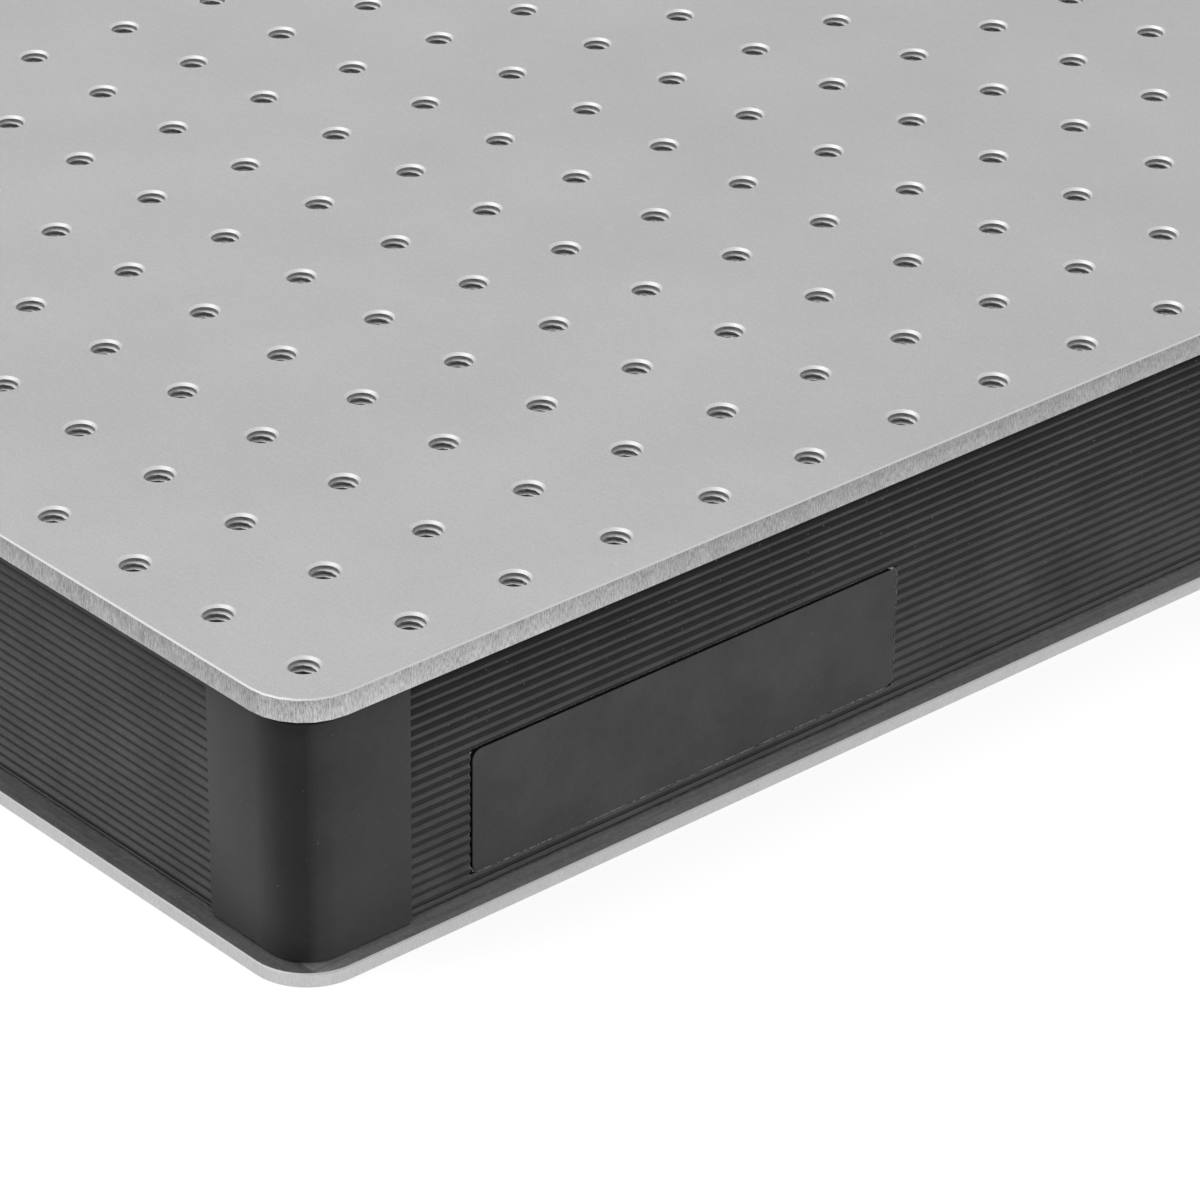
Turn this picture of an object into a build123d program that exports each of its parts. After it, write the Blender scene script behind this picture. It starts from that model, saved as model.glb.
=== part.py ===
from build123d import *
import math
import os

# Optical breadboard: two steel skins bonded to a honeycomb core, with tapped
# holes on a square grid and ribbed black trim round the sides.
# Millimetres, +Z up, +X along the length. The origin is at the middle of the
# underside. The nameplate is on the front, which is the -Y side.

# Overall size
board_length = 450.0
board_width = 300.0
board_height = 61.0

# Skins
top_skin_thickness = 4.8
bottom_skin_thickness = 3.0
skin_corner_radius = 12.5
skin_edge_chamfer = 0.3

# Tapped holes, M6: the bore is the tapping drill
hole_pitch = 25.0
tapping_bore = 5.0

# Side walls of folded steel, bonded between the skins
wall_thickness = 2.5

# Honeycomb core: corrugated ribbons that are bonded flat to flat
ribbon_thickness = 0.5
ribbon_flat = 10.0
ribbon_end_clearance = 0.5

# Ribbed side panels. The setback runs from the skins' edge to the rib crests.
# Each rib is an arc, and a flat lip runs along the panel's foot and head.
panel_setback = 5.0
panel_thickness = 3.0
panel_shadow_gap = 0.4
panel_end_clearance = 0.5
rib_pitch = 2.25
rib_depth = 0.8
lip_depth = 0.3

# Corner caps, which wrap the ends of two panels
cap_wall = 1.5
cap_leg = 30.0
cap_top_clearance = 0.3
cap_foot_chamfer = 1.0

# Nameplate, let into a pocket in the front panel
plate_length = 109.0
plate_height = 26.5
plate_thickness = 1.0
plate_corner_radius = 2.0
plate_inset = 46.0
plate_lift = 6.8
plate_clearance = 0.3

# Levels and planes that follow from the sizes above
core_bottom = bottom_skin_thickness
core_top = board_height - top_skin_thickness
core_height = core_top - core_bottom
wall_setback = panel_setback + panel_thickness
cap_setback = panel_setback - cap_wall
wall_outer_length = board_length - 2 * wall_setback
wall_outer_width = board_width - 2 * wall_setback
inner_length = wall_outer_length - 2 * wall_thickness
inner_width = wall_outer_width - 2 * wall_thickness
hole_columns = int(board_length // hole_pitch)
hole_rows = int(board_width // hole_pitch)


def rounded_rectangle(length, width, radius):
    """The outline of a skin, as a face in the XY plane."""
    return Plane.XY * RectangleRounded(length, width, radius)


def skin(thickness, level, chamfered_level, holes=None):
    """A skin whose underside is at a level, with its outer edge chamfered."""
    outline = rounded_rectangle(board_length, board_width, skin_corner_radius)
    plate = Pos(0, 0, level) * extrude(outline, thickness)
    rim = plate.edges().filter_by_position(Axis.Z, chamfered_level, chamfered_level)
    plate = chamfer(rim, skin_edge_chamfer)
    if holes is None:
        return plate
    return plate - Pos(0, 0, level) * extrude(holes, thickness)


def hole_grid():
    """Every tapped hole's bore, as one sketch centred on the board."""
    places = GridLocations(hole_pitch, hole_pitch, hole_columns, hole_rows)
    return Sketch() + [place * Circle(tapping_bore / 2) for place in places]


def top_skin():
    """The drilled and tapped working surface."""
    return skin(top_skin_thickness, core_top, board_height, hole_grid())


def bottom_skin():
    """The plain lower skin, chamfered where its ledge shows."""
    return skin(bottom_skin_thickness, 0.0, bottom_skin_thickness)


def ribbon_points(row, side):
    """One face of a corrugated ribbon, as points in the XY plane.

    The flats lie midway between the columns of holes, so that no tapped hole
    opens onto a wall of the core.
    """
    half = side * ribbon_thickness / 2
    swing = (hole_pitch - ribbon_thickness) / 2
    slope_angle = math.atan2(2 * swing, hole_pitch - ribbon_flat)
    middle = (row - (hole_rows - 2) / 2) * hole_pitch
    points = []
    for column in range(-1, hole_columns + 1):
        up = 1 if (column + row) % 2 == 0 else -1
        centre = (column - (hole_columns - 2) / 2) * hole_pitch
        reach = ribbon_flat / 2 + up * half * math.tan(slope_angle / 2)
        level = middle + up * swing + half
        points += [(centre - reach, level), (centre + reach, level)]
    return points


def core_ribbon(row):
    """One corrugated ribbon of the honeycomb, from end wall to end wall."""
    outline = ribbon_points(row, 1) + list(reversed(ribbon_points(row, -1)))
    face = make_face(Polyline(*outline, close=True))
    strip = extrude(face, core_height)
    room = Box(
        inner_length - 2 * ribbon_end_clearance,
        board_width,
        core_height,
        align=(Align.CENTER, Align.CENTER, Align.MIN),
    )
    return Pos(0, 0, core_bottom) * (strip & room)


def long_wall():
    """A wall along the length, with its outer face in the plane Y = 0."""
    return Box(
        wall_outer_length,
        wall_thickness,
        core_height,
        align=(Align.CENTER, Align.MIN, Align.MIN),
    )


def short_wall():
    """A wall across the width, between the long walls, facing the same way."""
    return Box(
        inner_width,
        wall_thickness,
        core_height,
        align=(Align.CENTER, Align.MIN, Align.MIN),
    )


def rib_profile():
    """The section of a ribbed panel, in the YZ plane, with crests at Y = 0."""
    height = core_height - panel_shadow_gap
    ribs = int(height / rib_pitch)
    foot = (height - ribs * rib_pitch) / 2
    head = height - foot
    outline = Polyline(
        (rib_depth, foot),
        (lip_depth, foot),
        (lip_depth, 0.0),
        (panel_thickness, 0.0),
        (panel_thickness, height),
        (lip_depth, height),
        (lip_depth, head),
        (rib_depth, head),
    )
    for rib in range(ribs):
        start = foot + rib * rib_pitch
        end = head if rib == ribs - 1 else start + rib_pitch
        middle = (0.0, (start + end) / 2)
        outline += ThreePointArc((rib_depth, start), middle, (rib_depth, end))
    return make_face(Plane.YZ * outline)


def ribbed_panel(side_length):
    """A ribbed panel for a side of the board, centred along X."""
    length = side_length - 2 * (skin_corner_radius + panel_end_clearance)
    return Pos(-length / 2, 0, 0) * extrude(rib_profile(), length, dir=(1, 0, 0))


def plate_block(margin, thickness):
    """A rounded block on the front panel, where the nameplate sits."""
    outline = RectangleRounded(
        plate_length + 2 * margin,
        plate_height + 2 * margin,
        plate_corner_radius + margin,
    )
    block = Plane.XZ * extrude(outline, -thickness)
    across = plate_inset + (plate_length - board_length) / 2
    up = plate_lift + plate_height / 2
    return Pos(across, panel_setback - board_width / 2, up) * block


def front_side(piece, setback, level):
    """Put a piece that faces -Y on the front of the board."""
    return Pos(0, setback - board_width / 2, level) * piece


def back_side(piece, setback, level):
    """Put a piece that faces -Y on the back of the board."""
    return Rot(0, 0, 180) * front_side(piece, setback, level)


def left_side(piece, setback, level):
    """Put a piece that faces -Y on the -X end of the board."""
    return Pos(setback - board_length / 2, 0, level) * Rot(0, 0, -90) * piece


def right_side(piece, setback, level):
    """Put a piece that faces -Y on the +X end of the board."""
    return Rot(0, 0, 180) * left_side(piece, setback, level)


def front_panel(panel_level):
    """The front panel, with the nameplate's pocket cut through its ribs."""
    panel = front_side(ribbed_panel(board_length), panel_setback, panel_level)
    return panel - plate_block(plate_clearance, plate_thickness)


def cap_outline(setback, radius):
    """The corner of a rectangle set back from the skins, as a large face."""
    corner_x = setback - board_length / 2
    corner_y = setback - board_width / 2
    reach = 2 * cap_leg
    square = Pos(corner_x, corner_y) * Rectangle(
        reach, reach, align=(Align.MIN, Align.MIN)
    )
    corner = square.vertices().sort_by(Axis.X)[:2].sort_by(Axis.Y)[0]
    return fillet(corner, radius)


def corner_cap():
    """The cap on the front left corner: a wrap with a rounded outer corner."""
    height = core_height - cap_top_clearance
    outer = cap_outline(cap_setback, skin_corner_radius - cap_setback)
    inner = cap_outline(panel_setback, skin_corner_radius - panel_setback)
    wrap = extrude(outer - inner, height)
    reach = Pos(-board_length / 2, -board_width / 2) * Box(
        cap_leg, cap_leg, height, align=(Align.MIN, Align.MIN, Align.MIN)
    )
    wrap = wrap & reach
    feet = wrap.edges().filter_by_position(Axis.Z, 0, 0)
    tips = feet.filter_by(lambda edge: abs(edge.length - cap_wall) < 1e-6)
    wrap = chamfer(tips, cap_foot_chamfer)
    return Pos(0, 0, core_bottom) * wrap


def build():
    """Every piece of the breadboard by its name."""
    panel_level = core_bottom + panel_shadow_gap
    pieces = {"top_skin": top_skin(), "bottom_skin": bottom_skin()}
    for row in range(hole_rows - 1):
        pieces[f"core_ribbon_{row + 1:02d}"] = core_ribbon(row)

    pieces["wall_front"] = front_side(long_wall(), wall_setback, core_bottom)
    pieces["wall_back"] = back_side(long_wall(), wall_setback, core_bottom)
    pieces["wall_left"] = left_side(short_wall(), wall_setback, core_bottom)
    pieces["wall_right"] = right_side(short_wall(), wall_setback, core_bottom)

    long_panel = ribbed_panel(board_length)
    short_panel = ribbed_panel(board_width)
    pieces["side_panel_front"] = front_panel(panel_level)
    pieces["side_panel_back"] = back_side(long_panel, panel_setback, panel_level)
    pieces["side_panel_left"] = left_side(short_panel, panel_setback, panel_level)
    pieces["side_panel_right"] = right_side(short_panel, panel_setback, panel_level)

    cap = corner_cap()
    pieces["corner_cap_front_left"] = cap
    pieces["corner_cap_back_right"] = Rot(0, 0, 180) * cap
    pieces["corner_cap_front_right"] = mirror(cap, Plane.YZ)
    pieces["corner_cap_back_left"] = mirror(cap, Plane.XZ)
    pieces["nameplate"] = plate_block(0.0, plate_thickness)
    return pieces


os.makedirs("parts", exist_ok=True)
for name, piece in build().items():
    export_step(piece, os.path.join("parts", f"{name}.step"))
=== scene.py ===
"""Dresses the optical breadboard: ground steel skins, ribbed black trim and a blank nameplate.

Every mesh is in metres, in the part's own frame: +X along the length, +Z up, the nameplate on -Y.
"""
import logging
import math
import random
from dataclasses import dataclass, field
from enum import Enum, IntEnum
from typing import Callable, Iterable, Sequence, Union

import bmesh
import bpy
from mathutils import Matrix, Vector


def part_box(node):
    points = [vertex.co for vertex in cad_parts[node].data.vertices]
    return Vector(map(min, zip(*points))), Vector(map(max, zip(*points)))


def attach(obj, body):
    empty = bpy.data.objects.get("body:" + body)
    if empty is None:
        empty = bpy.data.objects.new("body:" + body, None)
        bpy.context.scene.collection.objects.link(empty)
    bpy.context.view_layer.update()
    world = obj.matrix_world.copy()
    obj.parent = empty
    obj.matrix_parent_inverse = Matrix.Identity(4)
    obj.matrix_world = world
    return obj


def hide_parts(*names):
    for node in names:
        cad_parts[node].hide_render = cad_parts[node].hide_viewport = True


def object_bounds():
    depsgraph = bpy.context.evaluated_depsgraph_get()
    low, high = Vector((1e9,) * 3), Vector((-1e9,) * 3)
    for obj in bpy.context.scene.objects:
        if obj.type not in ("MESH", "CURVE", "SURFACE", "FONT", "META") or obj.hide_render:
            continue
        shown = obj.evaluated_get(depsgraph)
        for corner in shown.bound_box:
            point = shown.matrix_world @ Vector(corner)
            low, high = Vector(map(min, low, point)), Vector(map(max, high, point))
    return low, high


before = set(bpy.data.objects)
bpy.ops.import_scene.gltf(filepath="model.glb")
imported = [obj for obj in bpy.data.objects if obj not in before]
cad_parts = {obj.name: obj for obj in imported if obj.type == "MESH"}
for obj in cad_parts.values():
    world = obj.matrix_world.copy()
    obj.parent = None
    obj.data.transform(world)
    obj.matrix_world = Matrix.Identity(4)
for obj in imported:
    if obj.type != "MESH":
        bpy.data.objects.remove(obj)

LOG = logging.getLogger("breadboard")
MM = 0.001
SLACK = 0.01 * MM
TILTED = 0.3
LEVEL = 0.9
BODY = "root"
CAD_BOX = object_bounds()

Number = Union[int, float]
Loop = list[Vector]


class Graph:
    """A node tree of either kind, with one method that adds any node to it."""

    def __init__(self, tree: bpy.types.NodeTree) -> None:
        """Wraps an empty tree.

        Args:
            tree: A material's or a geometry modifier's node tree.
        """
        self.tree = tree

    def add(self, kind: str, settings: dict | None = None, inputs: dict | None = None,
            output: Union[int, str] = 0) -> "Signal":
        """Adds one node.

        Args:
            kind: The node's type name.
            settings: Properties to set first. The key "stops" gives a colour ramp's stops.
            inputs: Values or signals by socket name or number.
            output: The output to hand back, by name or number.

        Returns:
            The chosen output as a signal.
        """
        node = self.tree.nodes.new(kind)
        for name, value in (settings or {}).items():
            if name == "stops":
                self._set_stops(node.color_ramp, value)
            else:
                setattr(node, name, value)
        for key, value in (inputs or {}).items():
            socket = node.inputs[key]
            if isinstance(value, Signal):
                self.tree.links.new(value.socket, socket)
            else:
                socket.default_value = value
        if not node.outputs:
            return Signal(self, None, node)
        return Signal(self, node.outputs[output], node)

    @staticmethod
    def _set_stops(ramp: bpy.types.ColorRamp, stops: Sequence[tuple[float, float]]) -> None:
        """Gives a ramp its stops, each a place and a grey level."""
        while len(ramp.elements) < len(stops):
            ramp.elements.new(1.0)
        for element, (place, level) in zip(ramp.elements, stops):
            element.position = place
            element.color = (level, level, level, 1.0)


class Signal:
    """One output socket, with the arithmetic that the recipes use."""

    def __init__(self, graph: Graph, socket: bpy.types.NodeSocket | None, node: bpy.types.Node) -> None:
        """Wraps a socket.

        Args:
            graph: The graph that the socket belongs to.
            socket: The socket, or None for a node that gives nothing out.
            node: The socket's node.
        """
        self.graph = graph
        self.socket = socket
        self.node = node

    def math(self, operation: str, *others: Union["Signal", Number]) -> "Signal":
        """Adds a Math node whose first value is this signal."""
        values = dict(enumerate((self, *others)))
        return self.graph.add("ShaderNodeMath", {"operation": operation}, values)

    def _from(self, operation: str, other: Number) -> "Signal":
        """Adds a Math node whose second value is this signal."""
        return self.graph.add("ShaderNodeMath", {"operation": operation}, {0: other, 1: self})

    def __add__(self, other: Union["Signal", Number]) -> "Signal":
        """Sum."""
        return self.math("ADD", other)

    def __radd__(self, other: Number) -> "Signal":
        """Sum with a number on the left."""
        return self._from("ADD", other)

    def __sub__(self, other: Union["Signal", Number]) -> "Signal":
        """Difference."""
        return self.math("SUBTRACT", other)

    def __rsub__(self, other: Number) -> "Signal":
        """Difference from a number."""
        return self._from("SUBTRACT", other)

    def __mul__(self, other: Union["Signal", Number]) -> "Signal":
        """Product."""
        return self.math("MULTIPLY", other)

    def __rmul__(self, other: Number) -> "Signal":
        """Product with a number on the left."""
        return self._from("MULTIPLY", other)

    def __truediv__(self, other: Union["Signal", Number]) -> "Signal":
        """Quotient."""
        return self.math("DIVIDE", other)

    def __gt__(self, other: Union["Signal", Number]) -> "Signal":
        """1 where this signal is the greater."""
        return self.math("GREATER_THAN", other)

    def __lt__(self, other: Union["Signal", Number]) -> "Signal":
        """1 where this signal is the smaller."""
        return self.math("LESS_THAN", other)

    def __abs__(self) -> "Signal":
        """Size without sign."""
        return self.math("ABSOLUTE")

    def equals(self, value: Number) -> "Signal":
        """1 where this whole-number signal has the value."""
        return self.math("COMPARE", value, 0.5)

    def clamped(self) -> "Signal":
        """This signal, held between 0 and 1."""
        return self.math("MINIMUM", 1.0).math("MAXIMUM", 0.0)


class MaterialGraph(Graph):
    """A material's tree, with the few textures that the finishes share."""

    def __init__(self, name: str) -> None:
        """Starts an empty material.

        Args:
            name: The material's name.
        """
        self.material = bpy.data.materials.new(name)
        self.material.use_nodes = True
        self.material.node_tree.nodes.clear()
        super().__init__(self.material.node_tree)
        self.place = self.add("ShaderNodeTexCoord", output="Object")
        self.x = self.axis("X")
        self.y = self.axis("Y")
        self.z = self.axis("Z")

    def axis(self, letter: str) -> Signal:
        """One object coordinate, in metres."""
        return self.add("ShaderNodeSeparateXYZ", None, {0: self.place}, letter)

    def stretched(self, x: float, y: float, z: float) -> Signal:
        """Object coordinates with each axis multiplied."""
        return self.add("ShaderNodeMapping", {"vector_type": "POINT"}, {"Vector": self.place, "Scale": (x, y, z)})

    def noise(self, size: float, detail: float = 2.0, roughness: float = 0.5,
              stretch: tuple[float, float, float] = (1.0, 1.0, 1.0)) -> Signal:
        """Noise between 0 and 1.

        Args:
            size: The size of a blotch, in metres.
            detail: How many finer layers are added.
            roughness: How strong the finer layers are.
            stretch: Factors on the axes, below 1 where blotches are long.

        Returns:
            The noise as a signal.
        """
        vector = self.stretched(*(factor / size for factor in stretch))
        inputs = {"Vector": vector, "Scale": 1.0, "Detail": detail, "Roughness": roughness}
        return self.add("ShaderNodeTexNoise", {"noise_dimensions": "3D"}, inputs, 0)

    def ramp(self, signal: Signal, stops: Sequence[tuple[float, float]]) -> Signal:
        """A curve through places and levels."""
        return self.add("ShaderNodeValToRGB", {"stops": stops}, {"Fac": signal})

    def blend(self, mask: Signal, low: Union[Signal, Sequence[float]], high: Sequence[float]) -> Signal:
        """A colour between two, by a mask."""
        start = low if isinstance(low, Signal) else (*low, 1.0)
        return self.add("ShaderNodeMix", {"data_type": "RGBA"}, {0: mask, 6: start, 7: (*high, 1.0)}, 2)

    def scaled(self, share: Signal, level: float) -> Signal:
        """A grey multiplied by a share between 0 and 2."""
        return self.blend(share / 2.0, grey(0.0), grey(level * 2.0))

    def bump(self, height: Signal, depth: float) -> Signal:
        """A normal bent by a height between 0 and 1 that stands for a depth in metres."""
        inputs = {"Height": height, "Distance": depth, "Strength": 1.0}
        return self.add("ShaderNodeBump", None, inputs, "Normal")

    def finish(self, inputs: dict) -> bpy.types.Material:
        """Closes the material with one shader.

        Args:
            inputs: The shader's own values and signals by socket name.

        Returns:
            The finished material.
        """
        shader = self.add("ShaderNodeBsdfPrincipled", None, inputs, "BSDF")
        self.add("ShaderNodeOutputMaterial", None, {"Surface": shader})
        return self.material


def grey(level: float) -> tuple[float, float, float]:
    """A neutral colour."""
    return (level, level, level)


@dataclass(frozen=True)
class GroundFace:
    """The finely ground, matt upper face of the steel skin."""

    level: float = 0.44
    spread: float = 0.07
    roughness: float = 0.42

    def make(self) -> bpy.types.Material:
        """Builds the material.

        Returns:
            The finished material.
        """
        g = MaterialGraph("ground_steel_face")
        grain = g.noise(0.30 * MM, 2.0, 0.6)
        lay = g.noise(0.5 * MM, 2.0, 0.6, (1.0, 0.06, 1.0))
        cloud = g.noise(45 * MM, 3.0, 0.55)
        tone = grain * 0.66 + lay * 0.12 + cloud * 0.22
        low, high = self.level - self.spread, self.level + self.spread
        mask = g.ramp(tone, [(0.30, 0.0), (0.70, 1.0)])
        color = g.blend(mask, grey(low), grey(high))
        rough = self.roughness + (cloud - 0.5) * 0.10 + (grain - 0.5) * 0.12
        normal = g.bump(grain * 0.6 + lay * 0.4, 0.006 * MM)
        return g.finish({"Base Color": color, "Metallic": 1.0, "Roughness": rough, "Normal": normal})


@dataclass(frozen=True)
class GroundEdge:
    """A steel edge ground across its thickness, with short upright marks, and painted shade that leaves it lighter
    towards its foot.

    Where both distances from the middle pass lit_from, painted light makes it lighter over lit_run by lit_gain.
    """

    name: str
    level: float
    contrast: float
    roughness: float
    top: float
    height: float
    painted_shade_fade: float = 0.0
    lit_from: tuple[float, float] = (1.0, 1.0)
    lit_run: tuple[float, float] = (90 * MM, 12.5 * MM)
    lit_gain: float = 0.0

    def make(self) -> bpy.types.Material:
        """Builds the material.

        Returns:
            The finished material.
        """
        g = MaterialGraph(self.name)
        marks = g.noise(0.26 * MM, 2.0, 0.7, (1.0, 1.0, 0.20))
        bands = g.noise(5.0 * MM, 3.0, 0.6, (1.0, 1.0, 0.50))
        grain = g.noise(0.20 * MM, 2.0, 0.6)
        sunk = ((self.top - g.z) / self.height).clamped()
        # painted shade: the edge is darker towards its top and lighter towards its foot
        mix = marks * 0.56 + bands * 0.16 + grain * 0.28 + (sunk - 0.5) * self.painted_shade_fade
        tone = g.ramp(mix, [(0.34, 0.0), (0.66, 1.0)])
        spread = self.contrast / self.level
        # painted light: the edge grows lighter near the corners
        along_x = ((abs(g.x) - self.lit_from[0]) / self.lit_run[0]).clamped()
        along_y = ((abs(g.y) - self.lit_from[1]) / self.lit_run[1]).clamped()
        share = (1.0 - spread + tone * 2.0 * spread) * (1.0 + along_x * along_y * self.lit_gain)
        color = g.scaled(share, self.level)
        rough = self.roughness + (marks - 0.5) * 0.25
        normal = g.bump(marks * 0.7 + bands * 0.3, 0.02 * MM)
        return g.finish({"Base Color": color, "Metallic": 1.0, "Roughness": rough, "Normal": normal})


@dataclass(frozen=True)
class BrokenEdge:
    """The narrow bright bevel along a skin's edge or a hole's mouth."""

    name: str
    level: float

    def make(self) -> bpy.types.Material:
        """Builds the material.

        Returns:
            The finished material.
        """
        g = MaterialGraph(self.name)
        grain = g.noise(0.4 * MM, 2.0, 0.6)
        color = g.blend(grain, grey(self.level - 0.08), grey(self.level + 0.06))
        return g.finish({"Base Color": color, "Metallic": 1.0, "Roughness": 0.42 + grain * 0.12})


@dataclass(frozen=True)
class TappedBore:
    """Cut steel inside a tapped hole, with painted shade that darkens it with depth."""

    top: float
    depth: float
    bright: float = 0.42
    dark: float = 0.30
    dark_run: float = 1.4

    def make(self) -> bpy.types.Material:
        """Builds the material.

        Returns:
            The finished material.
        """
        g = MaterialGraph("tapped_bore")
        grain = g.noise(0.5 * MM, 2.0, 0.6)
        # painted shade: the colour darkens with depth in the bore
        sunk = ((self.top - g.z) / self.depth).clamped()
        shade_mask = (sunk * self.dark_run + (grain - 0.5) * 0.5).clamped()
        color = g.blend(shade_mask, grey(self.bright), grey(self.dark))
        return g.finish({"Base Color": color, "Metallic": 0.5, "Roughness": 0.30 + grain * 0.12})


@dataclass(frozen=True)
class ThreadFlank:
    """The upper flank of the thread, with painted light that makes it lighter further down."""

    top: float
    depth: float
    upper: float = 0.28
    lower: float = 1.0

    def make(self) -> bpy.types.Material:
        """Builds the material.

        Returns:
            The finished material.
        """
        g = MaterialGraph("thread_flank")
        grain = g.noise(0.4 * MM, 2.0, 0.6)
        # painted light: the flank grows lighter further down the hole
        sunk = ((self.top - g.z) / self.depth + (grain - 0.5) * 0.3).clamped()
        color = g.blend(sunk, grey(self.upper), grey(self.lower))
        return g.finish({"Base Color": color, "Metallic": 1.0, "Roughness": 0.42 + grain * 0.12})


@dataclass(frozen=True)
class SheetSteel:
    """The rolled steel of the lower skin, with faint mottling, a few dust specks, and painted shade that can
    darken its two ends.
    """

    name: str
    level: float
    roughness: float
    spread: float = 0.05
    dust: float = 0.0
    dust_level: float = 0.45
    end_reach: float = 1.0
    end_shade_share: float = 1.0

    def make(self) -> bpy.types.Material:
        """Builds the material.

        Returns:
            The finished material.
        """
        g = MaterialGraph(self.name)
        mottle = g.noise(0.9 * MM, 4.0, 0.7)
        along_x = g.noise(0.8 * MM, 3.0, 0.6, (0.04, 1.0, 1.0))
        along_y = g.noise(0.8 * MM, 3.0, 0.6, (1.0, 0.04, 1.0))
        on_end = abs(g.x) > self.end_reach
        streak = along_x + on_end * (along_y - along_x)
        tone = g.ramp(mottle * 0.5 + streak * 0.5, [(0.32, 0.0), (0.68, 1.0)])
        spread = self.spread / self.level
        # painted shade: the two ends are darker by the end share
        share = (1.0 - spread + tone * 2.0 * spread) * (1.0 - on_end * (1.0 - self.end_shade_share))
        color = g.scaled(share, self.level)
        rough = self.roughness + (mottle - 0.5) * 0.14
        metal = 1.0
        if self.dust:
            speck = g.ramp(g.noise(0.40 * MM, 1.0, 0.4), [(0.76 - self.dust, 0.0), (0.80 - self.dust, 1.0)])
            color = g.blend(speck, color, grey(self.dust_level))
            metal = 1.0 - speck
        return g.finish({"Base Color": color, "Metallic": metal, "Roughness": rough})


@dataclass(frozen=True)
class BlackPlastic:
    """Satin black plastic with a fine skin and a little pale dust."""

    name: str
    level: float
    roughness: float
    grain: float
    dust: float
    sheen: float
    dust_level: float = 0.22

    def make(self) -> bpy.types.Material:
        """Builds the material.

        Returns:
            The finished material.
        """
        g = MaterialGraph(self.name)
        skin = g.noise(0.30 * MM, 2.0, 0.6)
        cloud = g.noise(14 * MM, 3.0, 0.55)
        scuff = g.noise(2.0 * MM, 4.0, 0.7)
        # the colour is multiplied by the painted shade of _shading
        tone = (cloud * 0.32 + skin * 0.24 + scuff * 0.14 + 0.15).clamped() * self._shading(g)
        color = g.blend(tone, grey(0.0), grey(self.level * 2.0))
        fleck = g.ramp(g.noise(0.6 * MM, 1.0, 0.3), [(0.80 - self.dust, 0.0), (0.84 - self.dust, 1.0)])
        pale = (fleck * 0.6).math("MAXIMUM", self._burrs(g))
        color = g.blend(pale, color, grey(self.dust_level))
        rough = self.roughness + (cloud - 0.5) * 0.12 + (skin - 0.5) * 0.08
        normal = g.bump(skin, self.grain)
        inputs = {"Base Color": color, "Roughness": rough, "Normal": normal, "Specular IOR Level": self.sheen}
        return g.finish(inputs)

    def _shading(self, g: MaterialGraph) -> Union[Signal, Number]:
        """How much of its colour each place keeps under painted shade, as a factor."""
        return 1.0

    def _burrs(self, g: MaterialGraph) -> Union[Signal, Number]:
        """Where pale burrs are, between 0 and 1."""
        return 0.0


@dataclass(frozen=True)
class RibbedPlastic(BlackPlastic):
    """The panels' plastic: painted shade below each rib's lit upper flank and in the pocket, and pale burrs where
    it was sawn.

    The lit band above the painted shade is narrow near the top of the long sides and widens downwards. On the ends
    it is wide.
    """

    rib_pitch: float = 2.18 * MM
    long_start: float = 0.0
    end_start: float = 0.0
    rib_run: float = 1.0
    end_reach: float = 1.0
    belly_shade_depth: float = 0.80
    pocket_middle: tuple[float, float] = (0.0, 0.0)
    pocket_half: tuple[float, float] = (0.0, 0.0)
    pocket_shade: float = 0.90
    burr_width: float = 0.30 * MM

    def _shading(self, g: MaterialGraph) -> Signal:
        """Paints shade on each rib below its lit upper flank, and in the nameplate's pocket."""
        on_end = abs(g.x) > self.end_reach
        height = g.z - (self.long_start + on_end * (self.end_start - self.long_start))
        rise = (height / self.rib_run).clamped()
        phase = (height / self.rib_pitch).math("FRACT")
        # painted shade below each rib's lit upper flank, wider near the top of the long sides
        long_belly_shade = ((0.60 + rise * 0.27 - phase) * 12.0).clamped() * (0.55 + rise * 0.45)
        end_belly_shade = ((0.60 - phase) * 3.0).clamped() * (0.8 + rise * 0.2)
        ribs = 1.0 - (long_belly_shade + on_end * (end_belly_shade - long_belly_shade)) * self.belly_shade_depth
        # painted shade in the nameplate's pocket
        in_pocket = (self._beyond_pocket(g) < self.burr_width / 4) * (g.y < 0.0)
        return ribs * (1.0 - in_pocket * self.pocket_shade)

    def _beyond_pocket(self, g: MaterialGraph) -> Signal:
        """How far outside the pocket's outline a place on the front lies, in metres."""
        across = abs(g.x - self.pocket_middle[0]) - self.pocket_half[0]
        up = abs(g.z - self.pocket_middle[1]) - self.pocket_half[1]
        return across.math("MAXIMUM", up)

    def _burrs(self, g: MaterialGraph) -> Signal:
        """Marks a broken pale line along the pocket's edge, on the front only."""
        near = abs(self._beyond_pocket(g) - self.burr_width / 2) < self.burr_width / 2
        broken = g.ramp(g.noise(0.5 * MM, 2.0, 0.6), [(0.50, 0.0), (0.62, 1.0)])
        return near * broken * (g.y < 0.0) * 0.5


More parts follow.
